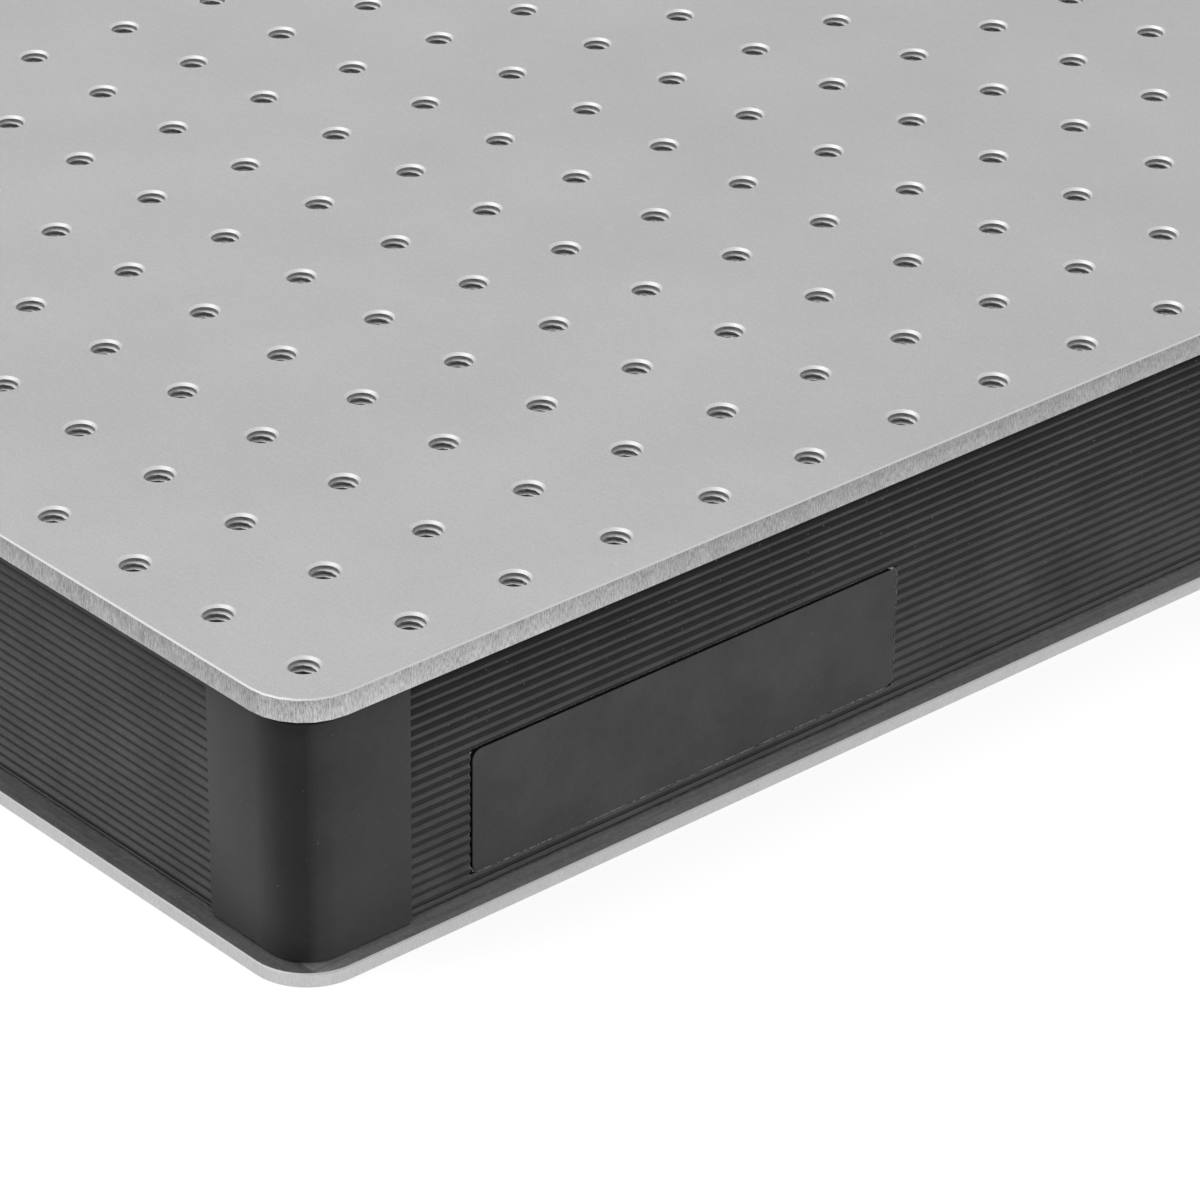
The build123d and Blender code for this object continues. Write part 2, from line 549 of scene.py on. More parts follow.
@dataclass(frozen=True)
class CapPlastic(BlackPlastic):
    """The caps' plastic, with painted shade round the bend and on the head under the upper skin."""

    bend_from: float = 0.0
    bend_span: float = 12.5 * MM
    bend_shade_depth: float = 0.44
    shade_level: float = 1.0
    shade_run: float = 0.3 * MM
    shade_depth: float = 0.75

    def _shading(self, g: MaterialGraph) -> Signal:
        """Paints shade in a soft upright stripe on each bend, and on the head, which the upper skin overhangs."""
        share = (abs(g.y) - self.bend_from) / self.bend_span
        # painted shade: a dark upright stripe round each bend
        bend_shade = g.ramp(share, [(0.0, 0.0), (0.24, 1.0), (0.84, 1.0), (0.94, 0.0)]) * self.bend_shade_depth
        # painted shade on the head under the upper skin's overhang
        overhung = ((g.z - self.shade_level) / self.shade_run).clamped() * self.shade_depth
        return (1.0 - bend_shade) * (1.0 - overhung)


@dataclass(frozen=True)
class HiddenMetal:
    """Plain foil or painted sheet inside the board."""

    name: str
    level: float
    metallic: float

    def make(self) -> bpy.types.Material:
        """Builds the material.

        Returns:
            The finished material.
        """
        g = MaterialGraph(self.name)
        mottle = g.noise(2.5 * MM, 3.0, 0.6)
        color = g.blend(mottle, grey(self.level * 0.85), grey(self.level * 1.15))
        return g.finish({"Base Color": color, "Metallic": self.metallic, "Roughness": 0.45 + mottle * 0.1})


class SocketKind(Enum):
    """The kinds of named input that a geometry recipe has."""

    LENGTH = "NodeSocketFloat"
    COUNT = "NodeSocketInt"
    MATERIAL = "NodeSocketMaterial"


class GeometryRecipe(Graph):
    """A geometry node tree with named inputs, run once to make a plain mesh."""

    def __init__(self, name: str, lengths: Sequence[str], counts: Sequence[str]) -> None:
        """Starts a tree with its group input node, which also takes a material.

        Args:
            name: The tree's name.
            lengths: The names of the inputs that are plain numbers.
            counts: The names of the inputs that are whole numbers.
        """
        super().__init__(bpy.data.node_groups.new(name, "GeometryNodeTree"))
        self.identifiers = {}
        labels = {SocketKind.LENGTH: lengths, SocketKind.COUNT: counts, SocketKind.MATERIAL: ("Material",)}
        for kind, names in labels.items():
            for label in names:
                socket = self.tree.interface.new_socket(name=label, in_out="INPUT", socket_type=kind.value)
                self.identifiers[label] = socket.identifier
        self.tree.interface.new_socket(name="Geometry", in_out="OUTPUT", socket_type="NodeSocketGeometry")
        self.entry = self.tree.nodes.new("NodeGroupInput")

    def __getitem__(self, label: str) -> Signal:
        """One of the named inputs, as a signal."""
        return Signal(self, self.entry.outputs[label], self.entry)

    def sheet(self, columns: Union[Signal, int], rows: Union[Signal, int], height: float = 1.0) -> Signal:
        """A flat grid to bend, a metre wide."""
        sizes = {"Size X": 1.0, "Size Y": height, "Vertices X": columns, "Vertices Y": rows}
        return self.add("GeometryNodeMeshGrid", None, sizes, "Mesh")

    def spot(self) -> tuple[Signal, Signal]:
        """Where each point of the flat grid lies, along X and along Y."""
        position = self.add("GeometryNodeInputPosition")
        x, y = (self.add("ShaderNodeSeparateXYZ", None, {0: position}, axis) for axis in "XY")
        return x, y

    def bend(self, sheet: Signal, x: Signal, y: Signal, z: Signal) -> Signal:
        """Moves the flat grid's points to their places."""
        place = self.add("ShaderNodeCombineXYZ", None, {"X": x, "Y": y, "Z": z})
        return self.add("GeometryNodeSetPosition", None, {"Geometry": sheet, "Position": place})

    def merge(self, geometry: Signal, distance: float = SLACK) -> Signal:
        """Joins points that lie closer together than a distance."""
        return self.add("GeometryNodeMergeByDistance", None, {"Geometry": geometry, "Distance": distance})

    def in_every_hole(self, shape: Signal) -> Signal:
        """Sets a shape at every place of the grid of holes."""
        places = self.add("GeometryNodeMeshGrid", None, {
            "Size X": (self["Columns"] - 1) * self["Hole Pitch"],
            "Size Y": (self["Rows"] - 1) * self["Hole Pitch"],
            "Vertices X": self["Columns"],
            "Vertices Y": self["Rows"],
        }, "Mesh")
        return self.add("GeometryNodeInstanceOnPoints", None, {"Points": places, "Instance": shape})

    def close(self, geometry: Signal) -> None:
        """Ends the tree with Realize Instances and Set Material."""
        realized = self.add("GeometryNodeRealizeInstances", None, {"Geometry": geometry})
        dressed = self.add("GeometryNodeSetMaterial", None, {"Geometry": realized, "Material": self["Material"]})
        self.add("NodeGroupOutput", None, {"Geometry": dressed})

    def run(self, name: str, values: dict) -> bpy.types.Object:
        """Runs the tree on an empty mesh.

        Args:
            name: The new object's name.
            values: A value for each named input.

        Returns:
            An object with the result as its plain mesh, and no modifier.
        """
        host = link(name, bpy.data.meshes.new(name))
        modifier = host.modifiers.new("recipe", "NODES")
        modifier.node_group = self.tree
        for label, value in values.items():
            modifier[self.identifiers[label]] = value
        return settle(host)


def face_out(bm: bmesh.types.BMesh) -> None:
    """Turns every face outwards."""
    bmesh.ops.recalc_face_normals(bm, faces=bm.faces)


def link(name: str, data: bpy.types.ID) -> bpy.types.Object:
    """Makes an object at the origin for a mesh, a light or a camera."""
    made = bpy.data.objects.new(name, data)
    bpy.context.scene.collection.objects.link(made)
    return made


def settle(piece: bpy.types.Object) -> bpy.types.Object:
    """Turns an object's evaluated shape into its own mesh and drops its modifiers.

    Args:
        piece: An object with live modifiers.

    Returns:
        The same object.
    """
    bpy.context.view_layer.update()
    evaluated = piece.evaluated_get(bpy.context.evaluated_depsgraph_get())
    mesh = bpy.data.meshes.new_from_object(evaluated)
    piece.modifiers.clear()
    piece.data = mesh
    mesh.name = piece.name
    return piece


def remesh(piece: bpy.types.Object, work: Callable[[bmesh.types.BMesh], None]) -> None:
    """Edits an object's mesh in place.

    Args:
        piece: The object.
        work: What to do to its open mesh.
    """
    bm = bmesh.new()
    bm.from_mesh(piece.data)
    work(bm)
    bm.to_mesh(piece.data)
    bm.free()
    piece.data.update()


def shade(piece: bpy.types.Object, angle: float = 35.0) -> None:
    """Shades curved stretches smooth and leaves edges sharp past an angle in degrees."""
    piece.data.shade_smooth()
    piece.data.set_sharp_from_angle(angle=math.radians(angle))


def paint(piece: bpy.types.Object, materials: Sequence[bpy.types.Material],
          choose: Callable[[bpy.types.MeshPolygon], int]) -> None:
    """Gives each face of a piece one of several materials.

    Args:
        piece: The object.
        materials: Its materials, in slot order.
        choose: Says which slot a face takes.
    """
    piece.data.materials.clear()
    for material in materials:
        piece.data.materials.append(material)
    for face in piece.data.polygons:
        face.material_index = choose(face)


def seat(piece: bpy.types.Object, slot: str, *nodes: str) -> bpy.types.Object:
    """Lets a piece ride on the board in place of the named nodes."""
    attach(piece, BODY)
    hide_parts(*nodes)
    LOG.info("%s: %d faces", piece.name, len(piece.data.polygons))
    return piece


def rounded_outline(half_x: float, half_y: float, radius: float, steps: int) -> list[tuple[float, float]]:
    """The points of a rounded rectangle about the origin, anticlockwise.

    Args:
        half_x: Half the length.
        half_y: Half the width.
        radius: The corners' radius.
        steps: The number of edges in each corner's arc.

    Returns:
        The outline's points.
    """
    points = []
    for quarter, (sx, sy) in enumerate(((1, -1), (1, 1), (-1, 1), (-1, -1))):
        for step in range(steps + 1):
            angle = math.radians(90 * (quarter - 1) + 90 * step / steps)
            x = sx * (half_x - radius) + radius * math.cos(angle)
            y = sy * (half_y - radius) + radius * math.sin(angle)
            points.append((x, y))
    return points


def loft(name: str, loops: Sequence[Loop]) -> bpy.types.Object:
    """A closed solid through loops of equally many points, with flat ends.

    Args:
        name: The object's name.
        loops: The loops, in order.

    Returns:
        The new object.
    """
    bm = bmesh.new()
    rings = [[bm.verts.new(point) for point in loop] for loop in loops]
    for lower, upper in zip(rings, rings[1:]):
        count = len(lower)
        for k in range(count):
            after = (k + 1) % count
            bm.faces.new((lower[k], lower[after], upper[after], upper[k]))
    bm.faces.new(list(reversed(rings[0])))
    bm.faces.new(rings[-1])
    face_out(bm)
    mesh = bpy.data.meshes.new(name)
    bm.to_mesh(mesh)
    bm.free()
    return link(name, mesh)


class SkinFace(IntEnum):
    """The finishes of the upper skin, in slot order."""

    FLAT = 0
    EDGE = 1
    BEVEL = 2
    BORE = 3
    MOUTH = 4


class SheetFace(IntEnum):
    """The finishes of the lower skin, in slot order."""

    LEDGE = 0
    EDGE = 1
    BEVEL = 2
    UNDERSIDE = 3


@dataclass
class Thread:
    """The thread in the tapped holes: a ridge that winds down each bore."""

    pitch: float = 1.27 * MM
    crest_radius: float = 2.5 * MM
    bite: float = 0.06 * MM
    lead_in: float = 0.84 * MM
    turns: float = 2.7
    steps_per_turn: int = 10
    crest_share: float = 0.11
    base_share: float = 0.36
    run_out: float = 4.0
    # the share of a pitch below the lead-in where the flank keeps painted shade before its painted light begins
    shaded_share: float = 0.3
    start_angle: float = math.radians(270)

    def recipe(self) -> GeometryRecipe:
        """Writes the tree that winds one ridge and sets it in every hole of the grid.

        Returns:
            The recipe. The ridge has flanks and a flat crest, and runs out to nothing at both ends.
        """
        recipe = GeometryRecipe(
            "thread_grid",
            ("Hole Pitch", "Root Radius", "Crest Radius", "Thread Pitch", "Turns", "Top"),
            ("Columns", "Rows", "Steps Per Turn"),
        )
        corners = 5
        sheet = recipe.sheet(recipe["Turns"] * recipe["Steps Per Turn"] + 1, corners)
        x, y = recipe.spot()
        across = x + 0.5
        corner = ((y + 0.5) * (corners - 1)).math("ROUND")
        turn = across * recipe["Turns"]
        angle = self.start_angle - turn * (2 * math.pi)
        swell = (across.math("MINIMUM", 1.0 - across) * recipe["Turns"] * self.run_out).clamped()
        rise = recipe["Root Radius"] - recipe["Crest Radius"]
        radius = recipe["Root Radius"] - (corner.equals(1) + corner.equals(2)) * swell * rise
        base = (corner.equals(0) + corner.equals(4) - corner.equals(3)) * self.base_share
        crest = (corner.equals(1) - corner.equals(2)) * self.crest_share
        level = (base + crest) * swell * recipe["Thread Pitch"]
        depth = recipe["Top"] - turn * recipe["Thread Pitch"] + level
        ridge = recipe.bend(sheet, radius * angle.math("COSINE"), radius * angle.math("SINE"), depth)
        recipe.close(recipe.in_every_hole(recipe.merge(ridge, SLACK / 10)))
        return recipe


@dataclass
class TopSkin:
    """The thick upper skin with its grid of tapped, countersunk holes."""

    corner_radius: float = 12.5 * MM
    bevel: float = 0.3 * MM
    hole_pitch: float = 25.0 * MM
    bore_radius: float = 3.0 * MM
    mouth_radius: float = 3.45 * MM
    throat_radius: float = 2.90 * MM
    undercut: float = 0.08 * MM
    lit_stretch: float = 110.0 * MM
    thread: Thread = field(default_factory=Thread)
    segments: int = 24
    low: Vector = field(init=False)
    high: Vector = field(init=False)

    def __post_init__(self) -> None:
        """Reads the skin's place from the frame."""
        self.low, self.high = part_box("top_skin")

    def build(self) -> list[bpy.types.Object]:
        """Builds and dresses the skin and the threads in its holes.

        Returns:
            The finished pieces.
        """
        thickness = self.high.z - self.low.z
        holes = {
            "Columns": round((self.high.x - self.low.x) / self.hole_pitch),
            "Rows": round((self.high.y - self.low.y) / self.hole_pitch),
            "Hole Pitch": self.hole_pitch,
        }
        face = GroundFace().make()
        piece = self._recipe().run("ground_top_skin", {
            **holes,
            "Bore Radius": self.bore_radius,
            "Mouth Radius": self.mouth_radius,
            "Throat Radius": self.throat_radius,
            "Undercut": self.undercut,
            "Thickness": thickness,
            "Segments": self.segments,
            "Top": self.high.z,
            "Material": face,
        })
        remesh(piece, self._close_rim)
        shade(piece)
        # the edge band gets painted light near the corners and painted shade towards its top
        lit_from = (self.high.x - self.lit_stretch, self.high.y - self.corner_radius)
        edge = GroundEdge("ground_steel_edge", level=0.335, contrast=0.19, roughness=0.40, top=self.high.z,
                          height=thickness, painted_shade_fade=0.08, lit_from=lit_from, lit_gain=0.30).make()
        bore = TappedBore(self.high.z, thickness).make()
        bevel = BrokenEdge("bright_bevel", level=0.60).make()
        mouth = BrokenEdge("hole_mouth", level=0.60).make()
        paint(piece, (face, edge, bevel, bore, mouth), self._slot)
        threads = self.thread.recipe().run("tapped_threads", {
            **holes,
            "Root Radius": self.bore_radius + self.thread.bite,
            "Crest Radius": self.thread.crest_radius,
            "Thread Pitch": self.thread.pitch,
            "Turns": self.thread.turns,
            "Steps Per Turn": self.thread.steps_per_turn,
            "Top": self.high.z - self.thread.lead_in,
            "Material": bore,
        })
        remesh(threads, face_out)
        shade(threads, angle=45.0)
        # painted light on the flank starts below the lead-in
        painted_light_from = self.high.z - self.thread.lead_in - self.thread.pitch * self.thread.shaded_share
        flank = ThreadFlank(painted_light_from, self.thread.pitch).make()
        # painted light: upward-facing thread faces take the lighter flank colour, the rest take the bore's painted
        # shade
        paint(threads, (bore, flank), lambda face: int(face.normal.z > TILTED))
        return [seat(piece, "top_steel", "top_skin"), seat(threads, "top_steel", "top_skin")]

    def _recipe(self) -> GeometryRecipe:
        """Writes the tree that sets one square tile with its hole at every place of the grid.

        Returns:
            The recipe. A tile is a sheet of six rings: square, mouth, throat, bore, bore and square.
        """
        recipe = GeometryRecipe(
            "tapped_hole_grid",
            ("Hole Pitch", "Bore Radius", "Mouth Radius", "Throat Radius", "Undercut", "Thickness", "Top"),
            ("Columns", "Rows", "Segments"),
        )
        tiles = recipe.in_every_hole(self._tile(recipe))
        joined = recipe.add("GeometryNodeRealizeInstances", None, {"Geometry": tiles})
        recipe.close(recipe.merge(joined))
        return recipe

    @staticmethod
    def _tile(recipe: GeometryRecipe) -> Signal:
        """Bends a flat sheet into one tile of the grid.

        Args:
            recipe: The tree to add to.

        Returns:
            The tile's mesh.
        """
        rings = 6
        sheet = recipe.sheet(recipe["Segments"] + 1, rings)
        x, y = recipe.spot()
        angle = (x + 0.5) * (2 * math.pi)
        ring = ((y + 0.5) * (rings - 1)).math("ROUND")
        cosine = angle.math("COSINE")
        sine = angle.math("SINE")
        square = recipe["Hole Pitch"] / 2 / abs(cosine).math("MAXIMUM", abs(sine))
        is_square = ring.equals(0) + ring.equals(rings - 1)
        is_bore = ring.equals(3) + ring.equals(4)
        radius = is_square * square + ring.equals(1) * recipe["Mouth Radius"]
        radius = radius + ring.equals(2) * recipe["Throat Radius"] + is_bore * recipe["Bore Radius"]
        sink = recipe["Mouth Radius"] - recipe["Throat Radius"]
        depth = ring.equals(2) * sink + ring.equals(3) * (sink + recipe["Undercut"])
        depth = depth + (ring > 3.5) * recipe["Thickness"]
        return recipe.bend(sheet, radius * cosine, radius * sine, recipe["Top"] - depth)

    def _close_rim(self, bm: bmesh.types.BMesh) -> None:
        """Rounds the corners, adds the bevel and closes the edge band.

        Args:
            bm: The open plate.
        """
        middle = (self.low.z + self.high.z) / 2
        rim = [edge for edge in bm.edges if edge.is_boundary]
        upper = [edge for edge in rim if edge.verts[0].co.z > middle]
        for vert in {vert for edge in rim for vert in edge.verts}:
            inset = self.bevel if vert.co.z > middle else 0.0
            self._to_outline(vert, inset)
        for level in (self.high.z - self.bevel, self.low.z):
            grown = bmesh.ops.extrude_edge_only(bm, edges=upper)["geom"]
            upper = [item for item in grown if isinstance(item, bmesh.types.BMEdge)]
            for vert in {vert for edge in upper for vert in edge.verts}:
                vert.co.z = level
                self._to_outline(vert, 0.0)
        bmesh.ops.remove_doubles(bm, verts=bm.verts, dist=SLACK)
        face_out(bm)

    def _to_outline(self, vert: bmesh.types.BMVert, inset: float) -> None:
        """Moves a rim point onto the skin's outline.

        Args:
            vert: The point.
            inset: How far inside the outline it goes.
        """
        centre_x = self.high.x - self.corner_radius
        centre_y = self.high.y - self.corner_radius
        out = Vector((abs(vert.co.x) - centre_x, abs(vert.co.y) - centre_y))
        if out.x > SLACK and out.y > SLACK:
            out = out.normalized() * (self.corner_radius - inset)
        elif out.x > out.y:
            out.x = self.corner_radius - inset
        else:
            out.y = self.corner_radius - inset
        vert.co.x = math.copysign(centre_x + out.x, vert.co.x)
        vert.co.y = math.copysign(centre_y + out.y, vert.co.y)

    def _slot(self, face: bpy.types.MeshPolygon) -> int:
        """Says which finish a face has."""
        if face.center.z > self.high.z - SLACK or face.center.z < self.low.z + SLACK:
            return SkinFace.FLAT
        reach_x = self.high.x - abs(face.center.x)
        reach_y = self.high.y - abs(face.center.y)
        on_edge = min(reach_x, reach_y) < self.hole_pitch / 2 - self.mouth_radius
        if face.normal.z > TILTED:
            return SkinFace.BEVEL if on_edge else SkinFace.MOUTH
        return SkinFace.EDGE if on_edge else SkinFace.BORE


@dataclass
class BottomSkin:
    """The thinner lower skin, a plain sheet whose ledge shows under the trim."""

    corner_radius: float = 12.5 * MM
    bevel: float = 0.3 * MM
    lower_bevel: float = 0.2 * MM
    corner_steps: int = 12
    end_band: float = 6.0 * MM

    def build(self) -> bpy.types.Object:
        """Builds and dresses the skin.

        Returns:
            The finished piece.
        """
        low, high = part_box("bottom_skin")
        levels = (
            (low.z, self.lower_bevel),
            (low.z + self.lower_bevel, 0.0),
            (high.z - self.bevel, 0.0),
            (high.z, self.bevel),
        )
        loops = []
        for level, inset in levels:
            radius = self.corner_radius - inset
            outline = rounded_outline(high.x - inset, high.y - inset, radius, self.corner_steps)
            loops.append([Vector((x, y, level)) for x, y in outline])
        piece = loft("steel_bottom_skin", loops)
        shade(piece)
        # painted shade makes the ledge darker on the two ends
        ledge = SheetSteel("rolled_steel_ledge", level=0.62, roughness=0.50, spread=0.18, dust=0.05,
                           end_reach=high.x - self.end_band, end_shade_share=0.54).make()
        edge = GroundEdge("sheared_steel_edge", level=0.52, contrast=0.08, roughness=0.34, top=high.z,
                          height=high.z - low.z).make()
        bevel = BrokenEdge("lower_bevel", level=0.48).make()
        under = SheetSteel("rolled_steel_underside", level=0.48, roughness=0.38).make()
        paint(piece, (ledge, edge, bevel, under), self._slot)
        return seat(piece, "bottom_steel", "bottom_skin")

    @staticmethod
    def _slot(face: bpy.types.MeshPolygon) -> int:
        """Says which finish a face has."""
        if face.normal.z > LEVEL:
            return SheetFace.LEDGE
        if face.normal.z < -LEVEL:
            return SheetFace.UNDERSIDE
        return SheetFace.BEVEL if abs(face.normal.z) > TILTED else SheetFace.EDGE


class Side(Enum):
    """The board's four sides, each with the turn that brings a front panel there."""

    FRONT = 0
    RIGHT = 90
    BACK = 180
    LEFT = 270

    @property
    def label(self) -> str:
        """The side's name in plain words."""
        return self.name.lower()


@dataclass
class RibbedTrim:
    """The four ribbed side panels, with the nameplate's pocket in the front one."""

    rib_pitch: float = 2.18 * MM
    rib_depth: float = 0.55 * MM
    ribs: int = 23
    long_foot: float = 1.25 * MM
    end_foot: float = 0.52 * MM
    lip_depth: float = 0.3 * MM
    steps_per_rib: int = 8
    pocket_clearance: float = 0.37 * MM
    pocket_depth: float = 1.04 * MM
    pocket_corner: float = 2.0 * MM
    pocket_steps: int = 5
    cutter_reach: float = 2.0 * MM
    pocket_shift: tuple[float, float] = (-0.10 * MM, 0.22 * MM)
    ragged: float = 0.16 * MM
    ragged_step: float = 0.5 * MM
    end_margin: float = 5.0 * MM
    seed: int = 7

    def build(self) -> list[bpy.types.Object]:
        """Builds and dresses the panels.

        Returns:
            The four pieces.
        """
        low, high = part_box("side_panel_front")
        middle, half = self._pocket()
        material = RibbedPlastic(
            "ribbed_black_plastic", level=0.10, roughness=0.45, grain=0.012 * MM, dust=0.04, sheen=0.03,
            rib_pitch=self.rib_pitch,
            long_start=low.z + self.long_foot,
            end_start=low.z + self.end_foot,
            rib_run=self.ribs * self.rib_pitch,
            end_reach=high.x + self.end_margin,
            pocket_middle=middle,
            pocket_half=half,
        ).make()
        recipe = self._recipe()
        pieces = []
        for side in Side:
            node = f"side_panel_{side.label}"
            low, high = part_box(node)
            across = side in (Side.FRONT, Side.BACK)
            length = high.x - low.x if across else high.y - low.y
            thickness = high.y - low.y if across else high.x - low.x
            height = high.z - low.z
            piece = recipe.run(f"ribbed_panel_{side.label}", {
                "Length": length,
                "Height": height,
                "Ribs": self.ribs,
                "Foot": self.long_foot if across else self.end_foot,
                "Rib Pitch": self.rib_pitch,
                "Rib Depth": self.rib_depth,
                "Lip Depth": self.lip_depth,
                "Thickness": thickness,
                "Steps Per Rib": self.steps_per_rib,
                "Material": material,
            })
            face = {Side.FRONT: -low.y, Side.BACK: high.y, Side.LEFT: -low.x, Side.RIGHT: high.x}[side]
            turn = Matrix.Rotation(math.radians(side.value), 4, "Z")
            piece.data.transform(turn @ Matrix.Translation((0.0, -face, low.z)))
            if side is Side.FRONT:
                self._cut_pocket(piece)
            remesh(piece, self._point_outwards)
            shade(piece, angle=40.0)
            pieces.append(seat(piece, "ribbed_plastic", node))
        return pieces

    def _pocket(self) -> tuple[tuple[float, float], tuple[float, float]]:
        """The pocket's middle and its half sizes, each along X and Z."""
        low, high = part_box("nameplate")
        middle, half = (low + high) / 2, (high - low) / 2
        centre = (middle.x + self.pocket_shift[0], middle.z + self.pocket_shift[1])
        return centre, (half.x + self.pocket_clearance, half.z + self.pocket_clearance)

    def _recipe(self) -> GeometryRecipe:
        """Writes the tree that draws the ribs' section and runs it along a panel.

        Returns:
            The recipe. The panel stands on Z = 0 with its crests at Y = 0.
        """
        recipe = GeometryRecipe(
            "ribbed_strip",
            ("Length", "Height", "Foot", "Rib Pitch", "Rib Depth", "Lip Depth", "Thickness"),
            ("Ribs", "Steps Per Rib"),
        )
        pitch, sagitta, lip, back = (recipe[name] for name in ("Rib Pitch", "Rib Depth", "Lip Depth", "Thickness"))
        height = recipe["Height"]
        foot = recipe["Foot"]
        head = foot + recipe["Ribs"] * pitch
        tail = ((lip, head), (lip, height), (back, height), (back, 0.0), (lip, 0.0), (lip, foot), (sagitta, foot))
        wave_end = recipe["Ribs"] * recipe["Steps Per Rib"]
        last = wave_end + len(tail)
        sheet = recipe.sheet(2, last + 1, last)
        across, along = recipe.spot()
        step = (along + last / 2).math("ROUND")
        rib = (step / recipe["Steps Per Rib"] + 0.001).math("FLOOR")
        share = step / recipe["Steps Per Rib"] - rib
        radius = (pitch * pitch / 4 + sagitta * sagitta) / (sagitta * 2)
        reach = (pitch / 2 / radius).math("ARCSINE")
        angle = (share * 2 - 1) * reach
        on_wave = step < wave_end + 0.5
        depth = on_wave * radius * (1.0 - angle.math("COSINE"))
        level = on_wave * (foot + (rib + 0.5) * pitch + radius * angle.math("SINE"))
        for place, (y, z) in enumerate(tail, 1):
            here = (step - wave_end).equals(place)
            depth = depth + here * y
            level = level + here * z
        recipe.close(recipe.merge(recipe.bend(sheet, across * recipe["Length"], depth, level)))
        return recipe

    def _cut_pocket(self, piece: bpy.types.Object) -> None:
        """Cuts the nameplate's pocket, with the slightly ragged edge of sawn ribs.

        Args:
            piece: The front panel.
        """
        remesh(piece, self._point_outwards)
        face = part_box("nameplate")[0].y
        (middle_x, middle_z), (half_x, half_z) = self._pocket()
        chance = random.Random(self.seed)
        outline = []
        for x, z in self._walk(rounded_outline(half_x, half_z, self.pocket_corner, self.pocket_steps)):
            reach = chance.uniform(0.0, self.ragged)
            outline.append((x * (1 + reach / half_x), z * (1 + reach / half_z)))
        levels = (face - self.cutter_reach, face + self.pocket_depth)
        loops = [[Vector((middle_x + x, y, middle_z + z)) for x, z in outline] for y in levels]
        cutter = loft("pocket_cutter", loops)
        modifier = piece.modifiers.new("pocket", "BOOLEAN")
        modifier.operation = "DIFFERENCE"
        modifier.solver = "EXACT"
        modifier.object = cutter
        settle(piece)
        bpy.data.objects.remove(cutter)

    def _walk(self, corners: Sequence[tuple[float, float]]) -> Iterable[tuple[float, float]]:
        """Points at even steps along a closed outline."""
        for start, end in zip(corners, [*corners[1:], corners[0]]):
            span = math.dist(start, end)
            pieces = max(1, int(span / self.ragged_step))
            for k in range(pieces):
                share = k / pieces
                yield (start[0] + (end[0] - start[0]) * share, start[1] + (end[1] - start[1]) * share)

    @staticmethod
    def _point_outwards(bm: bmesh.types.BMesh) -> None:
        """Closes open ends and turns every face outwards."""
        open_edges = [edge for edge in bm.edges if edge.is_boundary]
        if open_edges:
            bmesh.ops.holes_fill(bm, edges=open_edges, sides=0)
        wide = [face for face in bm.faces if len(face.verts) > 4]
        bmesh.ops.triangulate(bm, faces=wide)
        face_out(bm)


@dataclass
class CornerCaps:
    """The four smooth caps that wrap the board's corners."""

    wall: float = 1.5 * MM
    outer_radius: float = 9.0 * MM
    foot_inset: float = 0.5 * MM
    foot_rise: float = 0.9 * MM
    foot_relief: float = 0.35 * MM
    bend_lead: float = 3.5 * MM
    overhung: float = 2.4 * MM
    arc_steps: int = 12
    soft_edge: float = 0.18 * MM

    def build(self) -> list[bpy.types.Object]:
        """Builds and dresses the caps.

        Returns:
            The four pieces.
        """
        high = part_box("corner_cap_back_left")[1]
        # the caps' material paints shade round each bend and on the head
        material = CapPlastic(
            "cap_black_plastic", level=0.050, roughness=0.42, grain=0.010 * MM, dust=0.01, sheen=0.12,
            bend_from=high.y - self.outer_radius - self.bend_lead,
            shade_level=high.z - self.overhung,
        ).make()
        pieces = []
        for end, sign_x in (("left", -1), ("right", 1)):
            for face, sign_y in (("front", -1), ("back", 1)):
                node = f"corner_cap_{face}_{end}"
                piece = self._cap(f"smooth_cap_{face}_{end}", node, sign_x, sign_y)
                piece.data.materials.append(material)
                pieces.append(seat(piece, "cap_plastic", node))
        return pieces

    def _cap(self, name: str, node: str, sign_x: int, sign_y: int) -> bpy.types.Object:
        """Builds one cap from its plan outline.

        Args:
            name: The piece's name.
            node: The node that it stands for.
            sign_x: The side of the board along X, as -1 or 1.
            sign_y: The side of the board along Y, as -1 or 1.

        Returns:
            The cap, with softened edges.
        """
        low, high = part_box(node)
        leg = high.x - low.x
        plan = self._plan(leg, 0.0)
        corner = Vector((low.x if sign_x < 0 else high.x, low.y if sign_y < 0 else high.y))
        foot = self._plan(leg - self.foot_inset, self.foot_relief)
        loops = []
        for level, outline in ((low.z, foot), (low.z + self.foot_rise, plan), (high.z, plan)):
            loops.append([Vector((corner.x - sign_x * x, corner.y - sign_y * y, level)) for x, y in outline])
        piece = loft(name, loops)
        bevel = piece.modifiers.new("soft_edge", "BEVEL")
        bevel.width = self.soft_edge
        bevel.segments = 2
        bevel.limit_method = "ANGLE"
        bevel.angle_limit = math.radians(40)
        settle(piece)
        shade(piece, angle=50.0)
        return piece

    def _plan(self, leg: float, relief: float) -> list[tuple[float, float]]:
        """The cap seen from above, with its corner at the origin and its legs along +X and +Y."""
        outer = self._bend(leg, relief, self.outer_radius - relief)
        inner = self._bend(leg, self.wall, self.outer_radius - self.wall)
        return outer + inner[::-1]

    def _bend(self, leg: float, offset: float, radius: float) -> list[tuple[float, float]]:
        """One face of the wrap: from the end of one leg, round the corner, to the end of the other."""
        centre = offset + radius
        points = [(leg, offset)]
        for step in range(self.arc_steps + 1):
            angle = math.radians(270 - 90 * step / self.arc_steps)
            points.append((centre + radius * math.cos(angle), centre + radius * math.sin(angle)))
        points.append((offset, leg))
        return points


